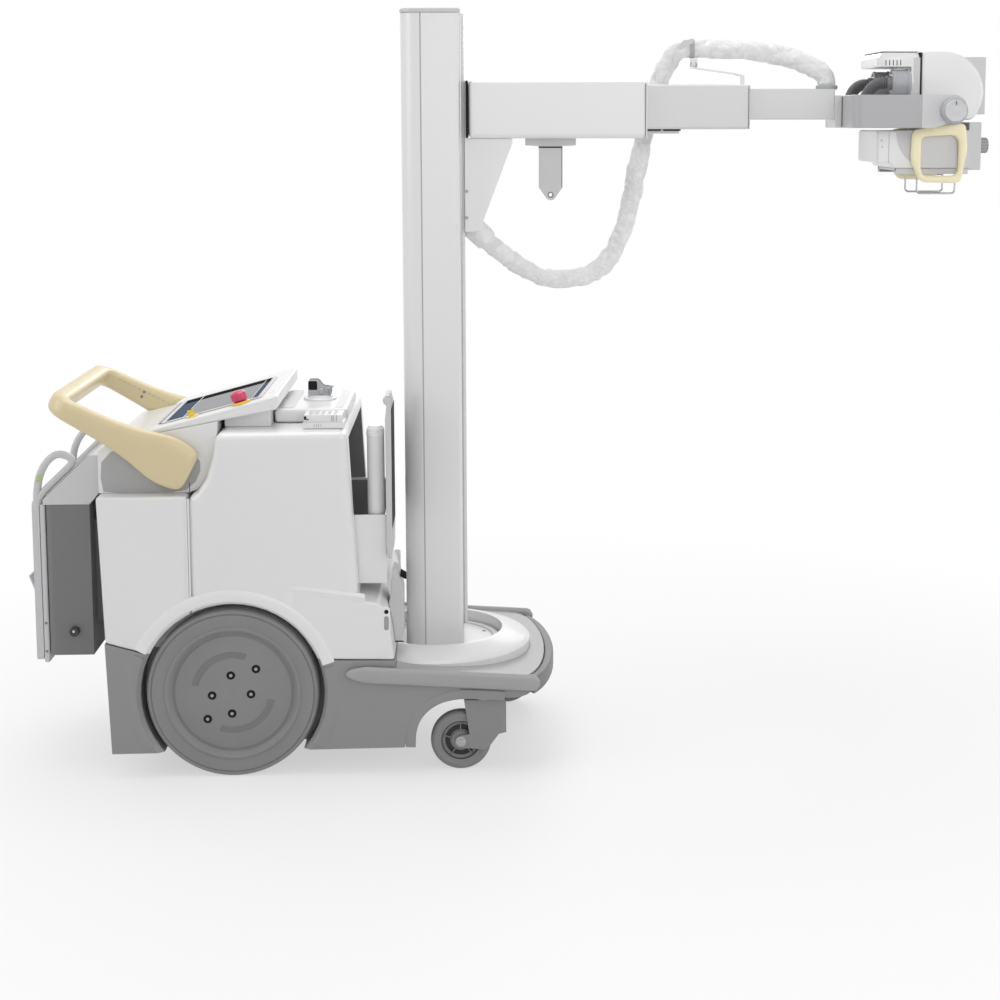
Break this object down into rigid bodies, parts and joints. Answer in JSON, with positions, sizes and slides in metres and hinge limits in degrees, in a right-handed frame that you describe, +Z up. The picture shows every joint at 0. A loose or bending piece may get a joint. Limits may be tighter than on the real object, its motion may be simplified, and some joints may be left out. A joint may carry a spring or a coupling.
{
  "type": "mobile x-ray machine",
  "caption": "Motor-driven mobile x-ray machine with a turning column, a telescopic arm, a tube head in a fork, a console and a detector bin.",
  "frame": {"origin": "on the floor, below the middle of the machine's whole length and width", "axes": "+X towards the front, where the tube head is, +Y to the machine's left, +Z up"},
  "size_m": [2.4355, 0.61, 1.877],
  "materials": {
    "white": "smooth semi-gloss paint",
    "light_grey": "satin paint",
    "base_grey": "satin paint",
    "bin_grey": "fine grained",
    "cream": "smooth",
    "fork_grey": "satin metallic paint",
    "wheel_grey": "solid tread on a moulded hub",
    "dark": "matte",
    "screen": "glossy display",
    "red": "glossy",
    "steel": "turned",
    "sleeve": "crinkled woven sleeve",
    "cable": "corrugated"
  },
  "bodies": {
    "chassis": {"base_frame": "base_grey", "deck_plate": "light_grey", "front_bumper": "bin_grey", "side_rail_left": "light_grey", "side_rail_right": "light_grey", "ring_cover": "white", "body_rear": "white", "body_main": "white", "body_foot": "white", "battery_block": "dark", "drive_axle": "steel", "console_plinth": "white", "console": "white", "console_screen": "screen", "emergency_button": "red", "push_handle": "cream", "top_cover": "white", "arm_dock": "light_grey", "handset": "white", "rear_bin": "bin_grey", "bin_lid": "light_grey", "detector_holder": "light_grey", "detector_panel": "light_grey", "rear_flap": "light_grey", "front_box": "white", "storage_tube": "white", "grid_panel": "light_grey", "panel_guard": "light_grey"},
    "wheel_left": {"drive_wheel_left": "wheel_grey"},
    "wheel_right": {"drive_wheel_right": "wheel_grey"},
    "caster_left": {"caster_fork_left": "fork_grey"},
    "caster_right": {"caster_fork_right": "fork_grey"},
    "caster_wheel_left": {"caster_wheel_left": "wheel_grey"},
    "caster_wheel_right": {"caster_wheel_right": "wheel_grey"},
    "column": {"turntable": "white", "column": "white", "column_cap": "light_grey"},
    "carriage": {"carriage": "white", "arm_outer": "white", "dock_tongue": "light_grey", "hose_lower": "sleeve"},
    "arm_mid": {"arm_mid": "white", "hose_stay": "light_grey", "hose_upper": "sleeve"},
    "arm_inner": {"arm_inner": "white"},
    "fork": {"fork": "fork_grey", "hv_cable_left": "cable", "hv_cable_right": "cable"},
    "head": {"tube_housing": "white", "cable_box": "white", "tube_front_box": "light_grey"},
    "collimator": {"collimator": "white", "collimator_block": "light_grey", "head_handle_left": "cream", "head_handle_right": "cream", "accessory_rails": "light_grey"}
  },
  "joints": [
    {"name": "column_swivel", "type": "hinge", "parent": "chassis", "child": "column", "pos_m": [-0.19325, 0, 0.262], "axis": [0, 0, 1], "range_deg": [-317, 317]},
    {"name": "carriage_lift", "type": "slide", "parent": "column", "child": "carriage", "axis": [0, 0, 1], "range_m": [-0.85, 0.1]},
    {"name": "arm_extend", "type": "slide", "parent": "carriage", "child": "arm_mid", "axis": [1, 0, 0], "range_m": [-0.17, 0], "deforming": ["hose_lower"]},
    {"name": "arm_extend_inner", "type": "slide", "parent": "arm_mid", "child": "arm_inner", "axis": [1, 0, 0], "range_m": [-0.17, 0], "deforming": ["hose_upper"]},
    {"name": "fork_turn", "type": "hinge", "parent": "arm_inner", "child": "fork", "pos_m": [0.83675, 0, 1.625], "axis": [1, 0, 0], "range_deg": [-150, 150], "deforming": ["hv_cable_left", "hv_cable_right"]},
    {"name": "head_tilt", "type": "hinge", "parent": "fork", "child": "head", "pos_m": [1.08275, 0, 1.625], "axis": [0, 1, 0], "range_deg": [-90, 30]},
    {"name": "collimator_turn", "type": "hinge", "parent": "head", "child": "collimator", "pos_m": [1.07675, 0, 1.577], "axis": [0, 0, 1], "range_deg": [-90, 90]},
    {"name": "wheel_roll_left", "type": "hinge", "parent": "chassis", "child": "wheel_left", "pos_m": [-0.68825, 0.285, 0.21], "axis": [0, 1, 0], "continuous": true},
    {"name": "wheel_roll_right", "type": "hinge", "parent": "chassis", "child": "wheel_right", "pos_m": [-0.68825, -0.285, 0.21], "axis": [0, 1, 0], "continuous": true},
    {"name": "caster_swivel_left", "type": "hinge", "parent": "chassis", "child": "caster_left", "pos_m": [-0.07175, 0.25, 0.181], "axis": [0, 0, 1], "continuous": true},
    {"name": "caster_swivel_right", "type": "hinge", "parent": "chassis", "child": "caster_right", "pos_m": [-0.07175, -0.25, 0.181], "axis": [0, 0, 1], "continuous": true},
    {"name": "caster_roll_left", "type": "hinge", "parent": "caster_left", "child": "caster_wheel_left", "pos_m": [-0.01175, 0.25, 0.075], "axis": [0, 1, 0], "continuous": true},
    {"name": "caster_roll_right", "type": "hinge", "parent": "caster_right", "child": "caster_wheel_right", "pos_m": [-0.13175, -0.25, 0.075], "axis": [0, 1, 0], "continuous": true}
  ],
  "couplings": [
    {"joint": "arm_extend_inner", "follows": "arm_extend", "ratio": 1}
  ]
}
